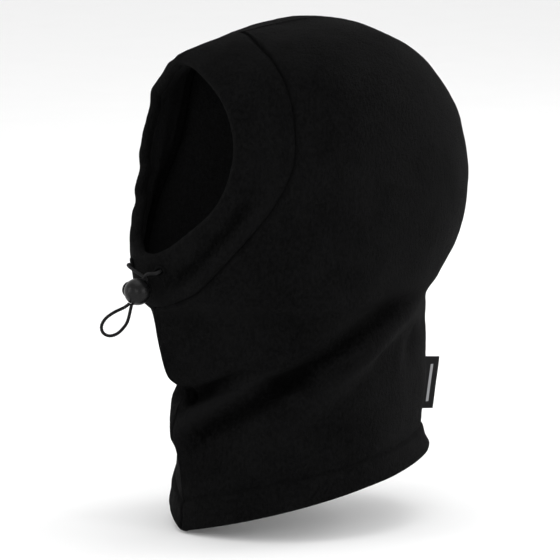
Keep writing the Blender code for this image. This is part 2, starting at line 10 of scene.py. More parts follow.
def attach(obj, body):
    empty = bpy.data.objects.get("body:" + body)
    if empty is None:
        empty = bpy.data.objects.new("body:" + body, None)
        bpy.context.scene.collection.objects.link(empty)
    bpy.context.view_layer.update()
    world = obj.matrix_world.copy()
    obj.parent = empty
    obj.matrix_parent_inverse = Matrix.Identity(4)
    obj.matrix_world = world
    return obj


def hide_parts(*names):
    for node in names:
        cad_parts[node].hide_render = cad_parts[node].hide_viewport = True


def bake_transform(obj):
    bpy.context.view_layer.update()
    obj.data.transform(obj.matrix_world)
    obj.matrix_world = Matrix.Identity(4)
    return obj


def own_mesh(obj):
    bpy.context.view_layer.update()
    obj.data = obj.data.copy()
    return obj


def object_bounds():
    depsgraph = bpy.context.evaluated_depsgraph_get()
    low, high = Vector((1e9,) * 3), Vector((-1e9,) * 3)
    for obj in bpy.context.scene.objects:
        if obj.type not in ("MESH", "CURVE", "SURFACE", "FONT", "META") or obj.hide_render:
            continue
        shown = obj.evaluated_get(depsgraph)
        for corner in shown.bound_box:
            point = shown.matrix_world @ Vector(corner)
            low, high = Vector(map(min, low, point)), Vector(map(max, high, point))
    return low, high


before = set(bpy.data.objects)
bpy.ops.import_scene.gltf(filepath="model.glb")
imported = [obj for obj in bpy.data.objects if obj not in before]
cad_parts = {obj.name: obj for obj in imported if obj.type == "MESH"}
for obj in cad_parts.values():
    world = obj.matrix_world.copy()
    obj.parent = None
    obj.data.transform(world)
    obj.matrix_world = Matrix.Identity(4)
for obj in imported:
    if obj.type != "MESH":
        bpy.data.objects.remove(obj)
CAD_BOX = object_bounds()
MM = 0.001

# ---- the hood's measures, in millimetres, as the solids have them

# For each rib: front x, y, z, back y, z, half width, point and lift
RIBS = (
    (0, -43, 98, -43, 98, 0, 0, 0),
    (24, -48, 94, -18, 101.5, 26, 0, 0),
    (50, -50, 82, 15, 103.5, 55, 0, 0),
    (65, -50, 64.5, 47, 97.5, 72, 0, 0),
    (72, -50.6, 41.5, 81, 79, 81, 0, 0),
    (75, -54, 21, 106, 48, 84, 0, 0),
    (73, -65, -0.5, 118, 12, 85, 0, 0),
    (67, -76, -17, 116, -20, 85, 0, 0),
    (55, -89, -37, 107, -46, 83, 0.1, 0),
    (38, -101, -58, 96, -62, 81, 0.3, 0),
    (19, -108.5, -68.5, 89, -70, 80, 0.6, 0),
    (0, -109.5, -73.5, 86, -73, 79, 0.85, 0),
    (0, -107, -92, 85, -75, 79, 0.95, 0),
    (0, -100, -117, 84.5, -78, 78, 0.95, 0),
    (0, -88, -128, 84, -83, 74, 0.95, 0),
    (0, -93, -141, 84, -90, 74, 0.95, 2),
    (0, -95, -157, 84.5, -102, 76, 0.95, 5),
    (0, -91, -178, 85.5, -128, 76, 0.85, 8),
    (0, -89, -200, 80.5, -160, 76, 0.4, 10),
    (0, -91, -219, 87.5, -176, 78, 0.2, 10),
)
SEAM = tuple(row[:3] for row in RIBS[:12])
OPENING = (
    (0, -88.5, 85.5), (14, -88.5, 83), (33, -86.5, 70.5), (46, -84.8, 56), (54, -84.5, 37),
    (55.5, -87.5, 20), (51, -92, 3.5), (44, -98, -9), (33, -107, -21.5), (22, -113.5, -31),
    (11, -117.5, -36.5), (0, -119, -38),
)
LAST_BAND_RIB = 11
HEM_TOP_RIB = 18
HEM_RIB = 19
FLEECE = 2.4
BAND_PLY = 2.2
BAND_ROLL = 4.0
BAND_AT_SEAM = 4.8
BAND_CROWN = 1.6
CORD_RADIUS = 1.1
HOLE_PLACE = 9.8
HOLE_SHARE = 0.68
BALL = np.array((6.5, -125.6, -59.4))
BALL_RADIUS = 8.5
CORD_AXIS = np.array((0, -0.57, -0.82)) / math.hypot(0.57, 0.82)
CORD_SIDE = np.array((0, -0.82, 0.57)) / math.hypot(0.57, 0.82)
CORD_SPREAD = 1.3
LOOP = (
    (-10.2, -9.2), (-17.1, -11.4), (-23.1, -14.6), (-26.2, -19.0), (-25.2, -23.4),
    (-20.8, -25.9), (-15.2, -25.2), (-10.4, -21.9), (-7.2, -17.6),
)
LABEL_ROOT_TOP, LABEL_TIP_TOP = (87.2, -124.0), (110.0, -126.6)
LABEL_ROOT_FOOT, LABEL_TIP_FOOT = (81.8, -158.6), (104.8, -160.8)

# Folds of the cloth: a route of (rib, across) places, height, reach above and below the line, all in
# millimetres, and how much of each end fades. A crease has a negative height.
FOLDS_LEFT = (
    (((16.6, 0.08), (15.85, 0.21), (15.1, 0.28), (13.9, 0.35), (12.9, 0.44), (12.2, 0.53), (11.2, 0.66),
      (10.4, 0.76)), -6.8, 8.5, 5.5, 0.12, 0.25),
    (((16.9, 0.30), (16.1, 0.38), (15.6, 0.42), (14.8, 0.47), (13.6, 0.53), (12.6, 0.61), (11.6, 0.72),
      (10.9, 0.82)), 4.4, 5.2, 6.5, 0.35, 0.2),
    (((16.1, 0.0), (15.7, 0.07), (15.2, 0.14), (14.65, 0.19), (13.95, 0.24), (13.15, 0.31), (12.7, 0.38)),
     4.2, 4.8, 5.0, 0.05, 0.4),
    (((14.5, 0.03), (14.25, 0.12), (13.6, 0.19), (13.0, 0.26), (12.6, 0.33)), -4.2, 4.5, 4.5, 0.1, 0.5),
    (((14.35, 0.05), (14.3, 0.10)), -3.8, 5.0, 4.5, 0.2, 0.2),
    (((13.4, 0.64), (14.75, 0.64), (15.9, 0.63), (16.6, 0.62)), 1.6, 4.0, 4.5, 0.4, 0.4),
    (((12.9, 0.71), (14.2, 0.70), (15.6, 0.68), (16.7, 0.66)), -1.0, 5.0, 3.5, 0.4, 0.4),
    (((12.6, 0.86), (14.2, 0.84), (15.8, 0.83), (17.0, 0.82)), 1.2, 5.0, 5.0, 0.4, 0.4),
)
FOLDS_RIGHT = (
    (((16.3, 0.10), (15.5, 0.23), (14.6, 0.31), (13.4, 0.40), (12.5, 0.50), (11.7, 0.62), (10.8, 0.74)),
     -5.0, 8.0, 6.0, 0.25, 0.25),
    (((16.6, 0.28), (15.8, 0.38), (14.9, 0.46), (13.8, 0.54), (12.8, 0.63), (11.8, 0.75)),
     3.0, 6.0, 7.0, 0.35, 0.2),
    (((16.0, 0.0), (15.5, 0.09), (14.8, 0.17), (14.0, 0.25), (13.1, 0.33)), 2.6, 5.0, 5.5, 0.05, 0.4),
    (((14.5, 0.03), (14.1, 0.13), (13.4, 0.22), (12.8, 0.31)), -3.6, 4.5, 4.5, 0.1, 0.5),
    (((17.3, 0.45), (16.4, 0.52), (15.2, 0.60), (14.0, 0.70), (13.0, 0.80)), 1.8, 5.0, 6.0, 0.4, 0.4),
    (((12.8, 0.84), (14.4, 0.82), (16.2, 0.80)), -1.4, 5.0, 4.0, 0.4, 0.4),
)


def unit(v):
    return v / np.maximum(np.linalg.norm(v, axis=-1, keepdims=True), 1e-12)


def smooth(x, low, high):
    t = np.clip((x - low) / (high - low), 0.0, 1.0)
    return t * t * (3 - 2 * t)


def rows_at(rows, place, mirror=False):
    """The smooth curve through rows of numbers, at fractional row numbers. With mirror, it crosses the
    plane x = 0 squarely at both ends."""
    rows = np.array(rows, float)
    place = np.clip(np.asarray(place, float), 0, len(rows) - 1)
    flip = np.array([-1.0] + [1.0] * (rows.shape[1] - 1))
    ends = (rows[1] * flip, rows[-2] * flip) if mirror else (2 * rows[0] - rows[1], 2 * rows[-1] - rows[-2])
    rows = np.vstack([ends[0], rows, ends[1]])
    i = np.minimum(place.astype(int), len(rows) - 4)
    f = (place - i)[..., None]
    a, b, c, d = rows[i], rows[i + 1], rows[i + 2], rows[i + 3]
    return 0.5 * (2 * b + (c - a) * f + (2 * a - 5 * b + 4 * c - d) * f * f
                  + (3 * b - a - 3 * c + d) * f ** 3)


def hood_face(rib, across):
    """The hood's outer face on the wearer's left, before any fold: across is 0 at its front edge and 1
    at the back seam."""
    rib, across = np.broadcast_arrays(np.asarray(rib, float), np.asarray(across, float))
    fx, fy, fz, by, bz, width, point, lift = np.moveaxis(rows_at(RIBS, rib), -1, 0)
    front = rows_at(SEAM, rib, mirror=True)
    band = rib <= LAST_BAND_RIB
    fx = np.where(band, np.maximum(front[..., 0], 0), 0)
    fy, fz = np.where(band, front[..., 1], fy), np.where(band, front[..., 2], fz)
    width = np.maximum(np.maximum(width, fx * 1.01), 0.01)
    start = np.zeros_like(fx)
    for _ in range(12):
        power = 1 + point * (1 + np.cos(start)) / 2
        start = np.arcsin(np.minimum(1, (fx / width) ** (1 / power)))
    turn = start + (math.pi - start) * across
    along = (np.cos(start) - np.cos(turn)) / (1 + np.cos(start))
    power = 1 + point * (1 + np.cos(turn)) / 2
    x = width * np.maximum(np.sin(turn), 0) ** power
    z = fz + (bz - fz) * along + lift * np.sin(turn) * (1 + 0.35 * np.cos(turn))
    return np.stack([x, fy + (by - fy) * along, z], -1)


def hood_out(rib, across):
    """Outward on that face, and in the plane x = 0 on the centre seams."""
    rib, across = np.broadcast_arrays(np.asarray(rib, float), np.asarray(across, float))
    middle = np.maximum(rib, 0.06)
    down = hood_face(np.minimum(middle + 0.04, HEM_RIB), across) - hood_face(middle - 0.04, across)
    back = hood_face(middle, np.minimum(across + 0.004, 1)) - hood_face(middle, np.maximum(across - 0.004, 0))
    out = np.cross(down, back)
    centre = (across >= 1) | ((across <= 0) & (rib >= LAST_BAND_RIB))
    out[..., 0] = np.where(centre, 0, out[..., 0])
    return unit(out)


def along_route(route, count):
    """Points at equal steps along the smooth curve through a route."""
    fine = rows_at(route, np.linspace(0, len(route) - 1, 900))
    run = np.concatenate([[0], np.cumsum(np.linalg.norm(np.diff(fine, axis=0), axis=1))])
    want = np.linspace(0, run[-1], count)
    return np.stack([np.interp(want, run, fine[:, k]) for k in range(fine.shape[1])], 1)


def grain(points, size, seed):
    """Even noise from -1 to 1 at every point, with grains of a size in millimetres."""
    flat = points.reshape(-1, 3) / size + seed
    return np.array([noise.noise(Vector(p)) for p in flat]).reshape(points.shape[:-1])


def fold_height(points, folds):
    """How far the folds lift each point of the face."""
    lift = np.zeros(points.shape[:-1])
    flat = points.reshape(-1, 3)
    for route, height, above, below, fade_in, fade_out in folds:
        places = along_route(route, 50)
        line = hood_face(places[:, 0], places[:, 1])
        out = hood_out(places[:, 0], places[:, 1])
        up = unit(np.cross(out, np.gradient(line, axis=0)))
        near = np.argmin(((flat[:, None] - line[None]) ** 2).sum(-1), 1)
        away = flat - line[near]
        reach = np.where((away * up[near]).sum(-1) > 0, above, below)
        share = near / 49
        fade = smooth(share, 0, max(fade_in, 1e-3)) * smooth(1 - share, 0, max(fade_out, 1e-3))
        if fade_in < 0.1:
            fade = smooth(1 - share, 0, fade_out)
        lift += (height * fade * np.exp(-((away ** 2).sum(-1)) / reach ** 2)).reshape(lift.shape)
    return lift


def panel_lift(rib, across, points, side):
    """Everything that lifts or sinks the outer face of a panel: folds, seams, hem and nap."""
    lift = fold_height(points, FOLDS_LEFT if side > 0 else FOLDS_RIGHT)
    lift += 1.1 * grain(points, 34, 3.1 + side) + 0.45 * grain(points, 13, 7.7 + side)
    lift += 0.16 * grain(points, 3.6, 1.3 + side)
    girth = 230 * (0.25 + 0.75 * np.clip(rib / 4, 0, 1))
    front, back = across * girth, (1 - across) * girth
    lift *= smooth(back, 0, 16) * (0.25 + 0.75 * smooth(front, 0, 10))
    for off in (front, back):
        lift += -1.9 * np.exp(-(off / 1.6) ** 2) + 0.25 * np.exp(-((off - 4.8) / 2.6) ** 2)
    below = (rib - HEM_TOP_RIB) * 20
    lift += -1.5 * np.exp(-(below / 1.2) ** 2) + 0.8 * np.exp(-((below - 5) / 4) ** 2)
    lift -= 0.35 * np.exp(-((below + 4) / 3) ** 2)
    return lift


def forehead_sag(points):
    """The wearer's right side of the forehead lies lower than the left."""
    away = (points - (-30, -52, 90)) / (34, 34, 30)
    drop = 5.0 * np.exp(-(away ** 2).sum(-1)) * smooth(-points[..., 0], 0, 14)
    return points - np.array((0, -0.2, 1)) * drop[..., None]


def panel_face(rib, across, side, depth=0.0):
    """The finished outer face of one panel, or a face at a depth below it."""
    points, out = hood_face(rib, across), hood_out(rib, across)
    face = points + out * (panel_lift(rib, across, points, side) - depth)[..., None]
    face[..., 0] = np.maximum(face[..., 0], 0.15)
    seam = (np.asarray(across) >= 1) | ((np.asarray(across) <= 0) & (np.asarray(rib) >= LAST_BAND_RIB))
    face[..., 0] = np.where(seam, -0.05, face[..., 0])
    face[..., 0] *= side
    return forehead_sag(face), out * np.array([side, 1, 1])


# ---- meshes

def piece(name, points, faces, finish, body, replaces=(), painted_shading=None):
    """A mesh in millimetres becomes a named piece that rides on a body. The last argument gives each point's
    painted shading: how far it stands out of the folds, and so how much paler (painted light) or darker
    (painted shade) its colour is painted."""
    mesh = bpy.data.meshes.new(name)
    built = bmesh.new()
    layer = built.verts.layers.float.new("painted_shading")
    verts = [built.verts.new(p) for p in np.asarray(points) * MM]
    for vert, value in zip(verts, np.zeros(len(verts)) if painted_shading is None else painted_shading):
        vert[layer] = value
    for face in faces:
        corners = [verts[i] for i in face]
        if len(set(corners)) > 2 and built.faces.get(corners) is None:
            built.faces.new(corners)
    bmesh.ops.remove_doubles(built, verts=built.verts, dist=2e-6)
    bmesh.ops.recalc_face_normals(built, faces=built.faces)
    if built.calc_volume(signed=True) < 0:
        bmesh.ops.reverse_faces(built, faces=built.faces)
    built.to_mesh(mesh)
    built.free()
    thing = bpy.data.objects.new(name, mesh)
    bpy.context.collection.objects.link(thing)
    mesh.materials.append(finish)
    mesh.shade_smooth()
    mesh.set_sharp_from_angle(angle=math.radians(60))
    if replaces:
        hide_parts(*replaces)
    if body:
        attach(thing, body)
    return thing


def ring_faces(rings, count, path_closed=False, start=0):
    """Faces between rings of points that follow one another; an open path gets caps."""
    faces = []
    for i in range(rings if path_closed else rings - 1):
        j = (i + 1) % rings
        for k in range(count):
            m = (k + 1) % count
            faces.append((start + i * count + k, start + i * count + m,
                          start + j * count + m, start + j * count + k))
    if not path_closed:
        faces.append(tuple(start + k for k in range(count))[::-1])
        faces.append(tuple(start + (rings - 1) * count + k for k in range(count)))
    return faces


def tube_rings(path, radius, sides, closed=False, braid=0.0):
    """Rings of points round a path; braid raises crossing strands on them."""
    path = np.asarray(path, float)
    if closed:
        ahead = unit(np.roll(path, -1, 0) - np.roll(path, 1, 0))
    else:
        ahead = unit(np.gradient(path, axis=0))
    aside = unit(np.cross(ahead[0], (0.3, 0.2, 0.93)))
    run, rings = 0.0, []
    for i, point in enumerate(path):
        aside = unit(aside - ahead[i] * (aside @ ahead[i]))
        third = np.cross(ahead[i], aside)
        run += 0 if i == 0 else float(np.linalg.norm(point - path[i - 1]))
        ring = []
        for k in range(sides):
            a = math.tau * k / sides
            weave = abs(math.sin(2 * a + run * 1.9)) * abs(math.sin(2 * a - run * 1.9))
            r = radius * (1 - braid * (1 - weave))
            ring.append(point + (aside * math.cos(a) + third * math.sin(a)) * r)
        rings.append(ring)
    return np.array(rings)


def tube(name, path, radius, finish, body, sides=8, closed=False, braid=0.0, replaces=()):
    rings = tube_rings(path, radius, sides, closed, braid)
    faces = ring_faces(len(rings), sides, closed)
    return piece(name, rings.reshape(-1, 3), faces, finish, body, replaces)


# ---- finishes

class Reading:
    """A number or colour in a finish; arithmetic on it adds the nodes."""

    def __init__(self, finish, socket):
        self.finish = finish
        self.socket = socket

    def reckon(self, operation, first, second):
        return self.finish.node("ShaderNodeMath", {"operation": operation}, {0: first, 1: second})

    def __add__(self, other):
        return self.reckon("ADD", self, other)

    def __radd__(self, other):
        return self.reckon("ADD", other, self)

    def __sub__(self, other):
        return self.reckon("SUBTRACT", self, other)

    def __rsub__(self, other):
        return self.reckon("SUBTRACT", other, self)

    def __mul__(self, other):
        return self.reckon("MULTIPLY", self, other)

    def __rmul__(self, other):
        return self.reckon("MULTIPLY", other, self)

    def between(self, low, high):
        """0 below low, 1 above high, and smooth between."""
        return self.finish.node("ShaderNodeMapRange", {"interpolation_type": "SMOOTHSTEP", "clamp": True},
                                {"Value": self, "From Min": low, "From Max": high})


class Finish:
    """A material and the nodes that make it."""

    def __init__(self, name, roughness, **constants):
        self.material = bpy.data.materials.new(name)
        self.material.use_nodes = True
        self.tree = self.material.node_tree
        self.shader = self.tree.nodes["Principled BSDF"]
        self.shader.inputs["Roughness"].default_value = roughness
        for socket, value in constants.items():
            self.shader.inputs[socket.replace("_", " ")].default_value = value
        self.place = self.node("ShaderNodeTexCoord", {}, {}, "Object")

    def node(self, kind, settings, sockets, output=0):
        made = self.tree.nodes.new(kind)
        for key, value in settings.items():
            setattr(made, key, value)
        for key, value in sockets.items():
            if isinstance(value, Reading):
                self.tree.links.new(value.socket, made.inputs[key])
            else:
                made.inputs[key].default_value = value
        return Reading(self, made.outputs[output])

    def stretched(self, scale, turn=(0, 0, 0)):
        return self.node("ShaderNodeMapping", {}, {"Vector": self.place, "Scale": scale, "Rotation": turn})

    def noise(self, size, detail=2.0, roughness=0.5, place=None):
        """Noise with grains of a size in metres."""
        return self.node("ShaderNodeTexNoise", {}, {"Vector": place or self.place, "Scale": 1 / size,
                                                    "Detail": detail, "Roughness": roughness})

    def blend(self, mask, dark, light):
        """A colour between two, by a mask."""
        return self.node("ShaderNodeMix", {"data_type": "RGBA"},
                         {"Factor": mask, "A": (*dark, 1), "B": (*light, 1)}, "Result")

    def colour(self, value):
        self.tree.links.new(value.socket, self.shader.inputs["Base Color"])

    def rough(self, value):
        self.tree.links.new(value.socket, self.shader.inputs["Roughness"])

    def relief(self, height, distance, strength=1.0):
        bump = self.node("ShaderNodeBump", {}, {"Height": height, "Distance": distance, "Strength": strength})
        self.tree.links.new(bump.socket, self.shader.inputs["Normal"])


def fleece_finish(name, dark, light):
    """Brushed fleece: short nap in soft clumps, with broad patches brushed one way or the other. The
    outer face is painted darker in the creases and paler on the ridges, as painted shade and light; the inner
    face, where the painted shading value is 2, is painted paler as painted light inside the hood and has the
    clumps alone."""
    finish = Finish(name, 1.0, Sheen_Weight=0.007, Sheen_Roughness=0.4, Specular_IOR_Level=0.02)
    patches = finish.noise(0.028, 3.0, 0.6)
    clumps = finish.noise(0.0019, 3.0, 0.65, finish.stretched((1.0, 1.0, 0.7)))
    fibres = finish.noise(0.0007, 3.0, 0.75)
    # Painted shading values: below 0.5 is painted shade in the creases, above it painted light on the ridges,
    # and 2 marks inner faces, painted paler as painted light.
    painted_shading = finish.node("ShaderNodeAttribute", {"attribute_name": "painted_shading"}, {}, "Fac")
    mottle = (0.55 * clumps + 0.45 * fibres).between(0.36, 0.64)
    tone = (0.34 * patches + 0.26 * mottle + 0.5 * painted_shading).between(0.16, 0.88)
    # The inner face is painted paler, as painted light inside the hood.
    inside = finish.blend(mottle, tuple(2 * c for c in light), tuple(3.4 * c for c in light))
    outside = finish.blend(tone, dark, light)
    finish.colour(finish.node("ShaderNodeMix", {"data_type": "RGBA"},
                              {"Factor": painted_shading.between(1.2, 1.6), "A": outside, "B": inside}, "Result"))
    finish.rough(0.86 + 0.14 * clumps)
    finish.relief(0.6 * clumps + 0.4 * fibres, 0.0030)
    return finish.material


def thread_finish(name, dark, light):
    """Spun thread: a fine twist and a little gloss."""
    finish = Finish(name, 0.7, Specular_IOR_Level=0.03)
    twist = finish.noise(0.0005, 2.0, 0.6, finish.stretched((1.0, 1.0, 3.0), (0.6, 0.4, 0)))
    finish.colour(finish.blend(twist.between(0.35, 0.65), dark, light))
    finish.rough(0.55 + 0.25 * twist)
    finish.relief(twist, 0.0002)
    return finish.material


def cord_finish(name, dark, light):
    """Braided elastic cord: the braid is in the mesh, and this adds yarns and patchy dust."""
    finish = Finish(name, 0.7, Sheen_Weight=0.012, Specular_IOR_Level=0.1)
    yarn = finish.noise(0.0004, 2.0, 0.7)
    wear = finish.noise(0.006, 2.0, 0.5)
    finish.colour(finish.blend((0.6 * yarn + 0.4 * wear).between(0.35, 0.65), dark, light))
    finish.rough(0.6 + 0.25 * yarn)
    finish.relief(yarn, 0.00015)
    return finish.material


def plastic_finish(name, dark, light):
    """Moulded plastic with a fine spark-eroded grain, rubbed a little smoother in patches."""
    finish = Finish(name, 0.36, Specular_IOR_Level=0.16)
    grain_height = finish.noise(0.00035, 2.0, 0.6)
    rubbed = finish.noise(0.0045, 3.0, 0.6)
    finish.colour(finish.blend(rubbed.between(0.3, 0.7), dark, light))
    finish.rough(0.20 + 0.10 * rubbed + 0.05 * grain_height)
    finish.relief(grain_height, 0.00006)
    return finish.material


def steel_finish(name):
    finish = Finish(name, 0.3, Metallic=1.0)
    drawn = finish.noise(0.0006, 2.0, 0.6, finish.stretched((4.0, 1.0, 1.0)))
    finish.colour(finish.blend(drawn, (0.42, 0.42, 0.44), (0.6, 0.6, 0.62)))
    finish.rough(0.22 + 0.2 * drawn)
    return finish.material


def label_finish(name):
    """Woven satin with two plain pale stripes down it."""
    finish = Finish(name, 0.5, Specular_IOR_Level=0.08)
    split = finish.node("ShaderNodeSeparateXYZ", {}, {"Vector": finish.place}, "Y").socket.node
    y, z = Reading(finish, split.outputs["Y"]), Reading(finish, split.outputs["Z"])
    lean = y - 0.0845 - 0.156 * (z + 0.1413)
    warp = finish.node("ShaderNodeTexWave", {"bands_direction": "Z"},
                       {"Vector": finish.place, "Scale": 900.0, "Distortion": 0.0})
    weft = finish.noise(0.0006, 2.0, 0.6)
    broad = lean.between(0.0166, 0.0168) * (1 - lean.between(0.0186, 0.0188))
    thin = lean.between(0.0125, 0.0127) * (1 - lean.between(0.0133, 0.0135))
    inside = z.between(-0.1558, -0.1555) * (1 - z.between(-0.1312, -0.1309))
    short = z.between(-0.1520, -0.1517) * (1 - z.between(-0.1352, -0.1349))
    ink = broad * inside + thin * short * 0.45
    ground = finish.blend(weft, (0.002, 0.002, 0.0022), (0.007, 0.007, 0.0075))
    stripes = finish.node("ShaderNodeMix", {"data_type": "RGBA"},
                          {"Factor": ink, "A": ground, "B": (0.30, 0.30, 0.31, 1)}, "Result")
    finish.colour(stripes)
    finish.rough(0.42 + 0.25 * weft)
    finish.relief(0.5 * warp + 0.5 * weft, 0.00012)
    return finish.material


def floor_finish(name):
    finish = Finish(name, 0.85, Specular_IOR_Level=0.1)
    speck = finish.noise(0.05, 2.0, 0.5)
    finish.colour(finish.blend(speck, (0.93, 0.93, 0.93), (0.95, 0.95, 0.95)))
    return finish.material


# ---- camera and light

def place_camera():
    turn, rise, away = math.radians(57), math.radians(10), 2.6
    back = Vector((math.sin(turn) * math.cos(rise), -math.cos(turn) * math.cos(rise), math.sin(rise)))
    right = Vector((math.cos(turn), math.sin(turn), 0))
    up = back.cross(right)
    target = right * -0.0128 + up * -0.064
    lens = bpy.data.cameras.new("camera")
    lens.sensor_width = 36
    lens.lens = 36 * away / 0.3584
    lens.clip_end = 50
    camera = bpy.data.objects.new("camera", lens)
    bpy.context.collection.objects.link(camera)
    turned = Matrix((right, up, back)).transposed().to_4x4()
    camera.matrix_world = Matrix.Translation(target + back * away) @ turned
    bpy.context.scene.camera = camera
    return right, up, back


def softbox(name, place, aim, size, power):
    light = bpy.data.lights.new(name, "AREA")
    light.shape = "RECTANGLE"
    light.size, light.size_y = size
    light.energy = power
    lamp = bpy.data.objects.new(name, light)
    bpy.context.collection.objects.link(lamp)
    lamp.location = place
    lamp.rotation_euler = (Vector(aim) - Vector(place)).to_track_quat("-Z", "Y").to_euler()


def light_studio(right, up, back):
    middle = Vector((0, 0, -0.05))
    softbox("rim_box", middle + right * 1.7 - back * 0.7 + up * 0.5, middle, (0.9, 1.6), 26)
    softbox("left_box", middle - right * 1.8 + back * 0.5 + up * 0.3, middle, (0.5, 0.9), 6)
    softbox("right_box", middle + right * 1.5 + back * 1.1 + up * 0.3, middle, (0.35, 0.8), 5)
    softbox("front_box", middle - right * 0.4 + back * 2.2 + up * 0.2, middle, (0.6, 0.9), 6)
    softbox("top_box", middle + Vector((0, 0, 1.9)), middle, (1.6, 1.6), 10)
    world = bpy.data.worlds.new("studio")
    world.use_nodes = True
    world.node_tree.nodes["Background"].inputs["Color"].default_value = (1, 1, 1, 1)
    world.node_tree.nodes["Background"].inputs["Strength"].default_value = 0.9
    bpy.context.scene.world = world
    bpy.context.scene.view_settings.view_transform = "Standard"


def lay_floor(finish):
    half, low = 4.0, CAD_BOX[0][2] * 1000 - 0.6
    points = [(x * half * 1000, y * half * 1000, z) for z in (low, low - 20)
              for x, y in ((-1, -1), (1, -1), (1, 1), (-1, 1))]
    faces = [(0, 1, 2, 3), (7, 6, 5, 4)] + [(k, 4 + k, 4 + (k + 1) % 4, (k + 1) % 4) for k in range(4)]
    piece("studio_floor", points, faces, finish, None)


# ---- face band

def band_frame(place):
    """Round the band, from 0 at the top by 11 below on the left to 22: the seam, the ways across and out,
    the width, and the panel's lean at the seam."""
    place = np.asarray(place, float)
    left = (place <= LAST_BAND_RIB)
    rib = np.where(left, place, 2 * LAST_BAND_RIB - place)
    seam, edge = rows_at(SEAM, rib, True), rows_at(OPENING, rib, True)
    low, high = np.clip(rib - 0.15, 0, LAST_BAND_RIB), np.clip(rib + 0.15, 0, LAST_BAND_RIB)
    around = sum(rows_at(t, high, True) - rows_at(t, low, True) for t in (SEAM, OPENING)) / 2
    around = np.where((rib <= 0.001)[..., None], (1.0, 0, 0), around)
    around = np.where((rib >= LAST_BAND_RIB - 0.001)[..., None], (-1.0, 0, 0), around)
    across = unit(edge - seam)
    out = unit(np.cross(across, around))
    panel = hood_out(np.clip(rib, 0.5, LAST_BAND_RIB), 0.0)
    slope = np.maximum(0, -(panel * across).sum(-1)) / np.maximum(0.3, (panel * out).sum(-1))
    flip = np.where(left[..., None], (1.0, 1.0, 1.0), (-1.0, 1.0, 1.0))
    return seam * flip, across * flip, out * flip, np.linalg.norm(edge - seam, axis=-1), slope


def gathers(place, share):
    """Height of the puckers that the drawcord pulls into the band: deeper towards the fold, few on the
    left, and none beside the buttonholes."""
    swing = (np.sin(place * 3.3 + 0.7) + 0.8 * np.sin(place * 5.2 + 2.1)
             + 0.35 * np.sin(place * 8.1 + 4.0)) / 2
    strength = 0.3 + 0.75 * smooth(place, 11.6, 13.2) + 0.4 * (1 - smooth(place, 0.0, 1.6))
    calm = 1 - np.exp(-((place - HOLE_PLACE) / 0.7) ** 2) - np.exp(-((place - 22 + HOLE_PLACE) / 0.7) ** 2)
    return swing * strength * calm * (0.15 + 0.85 * share ** 1.3)


def band_dents(place, share):
    """The soft crease that the lower left of the band takes, and the swell beside it."""
    reach = smooth(place, 4.6, 7.0) * (1 - smooth(place, 9.0, 10.4))
    dent = -2.6 * reach * np.exp(-((share - 0.50 + 0.02 * (place - 7)) / 0.17) ** 2)
    swell = 1.2 * reach * np.exp(-((share - 0.2) / 0.14) ** 2)
    upper = (0.9 * smooth(place, 2.4, 4.2) * (1 - smooth(place, 5.4, 7.0))
             * np.exp(-((share - 0.45) / 0.2) ** 2))
    right = (-1.6 * smooth(place, 12.6, 14.4) * (1 - smooth(place, 16, 18))
             * np.exp(-((share - 0.5) / 0.2) ** 2))
    return dent + swell + upper + right


def band_at(place, length, depth):
    """Points of the folded strip at a length from its seam and a depth below its face."""
    seam, along, out, width, slope = band_frame(place)
    length = np.maximum(length, 0.12 + depth * slope)
    share = np.clip(length / (width - BAND_ROLL), 0, 1)
    lift = BAND_CROWN * 4 * share * (1 - share) - depth + gathers(place, share) + band_dents(place, share)
    return forehead_sag(seam + along * length[..., None] + out * lift[..., None])


def tunnel_gap(share):
    eased = smooth(share, 0, 0.6)
    return (BAND_AT_SEAM - 2 * BAND_PLY) * (1 - eased) + 2 * (BAND_ROLL - BAND_PLY) * eased


def band_mesh():
    places = np.linspace(0, 22, 353)[:-1]
    reach = band_frame(places)[3] - BAND_ROLL
    shares = np.array([0.0, 0.03, 0.07, 0.12, 0.18, 0.25, 0.32, 0.4, 0.48, 0.56, 0.64, 0.72, 0.8, 0.88,
                       0.95, 1.0])
    turns = np.radians(np.arange(15, 180, 15))
    hollow = BAND_ROLL - BAND_PLY
    loops = []
    nap = []
    for s in shares:
        sunk = -1.9 * np.exp(-(s * reach / 1.6) ** 2) + 0.25 * np.exp(-((s * reach - 4.8) / 2.6) ** 2)
        loops.append(band_at(places, s * reach, -sunk))
        nap.append(1)
    for a in turns:
        loops.append(band_at(places, reach + BAND_ROLL * math.sin(a),
                             np.full_like(reach, BAND_ROLL * (1 - math.cos(a)))))
        nap.append(1)
    for s in shares[::-1]:
        loops.append(band_at(places, s * reach, np.full_like(reach, 2 * BAND_PLY + tunnel_gap(s))))
        nap.append(1)
    for s in shares:
        loops.append(band_at(places, s * reach, np.full_like(reach, BAND_PLY + tunnel_gap(s))))
        nap.append(0)
    for a in turns[::-1]:
        loops.append(band_at(places, reach + hollow * math.sin(a),
                             BAND_ROLL - np.full_like(reach, hollow * math.cos(a))))
        nap.append(0)
    for s in shares[::-1]:
        loops.append(band_at(places, s * reach, np.full_like(reach, BAND_PLY)))
        nap.append(0)
    points = np.stack(loops, 1)
    out = band_frame(places)[2][:, None]
    rough = 0.5 * grain(points, 12, 5.5) + 0.16 * grain(points, 3.6, 9.5)
    points = points + out * (rough * np.array(nap))[..., None] * 0.8
    # Painted shade and light: the band's outer face is painted darker in its dents and paler on its swells;
    # the rest, 2, is the inner face, painted paler as painted light inside the hood.
    painted_shading = np.full(points.shape[:2], 2.0)
    for k, share in enumerate(np.concatenate([shares, np.ones(len(turns))])):
        painted_shading[:, k] = np.clip(0.5 + band_dents(places, share) / 7, 0, 1)
    return points, painted_shading


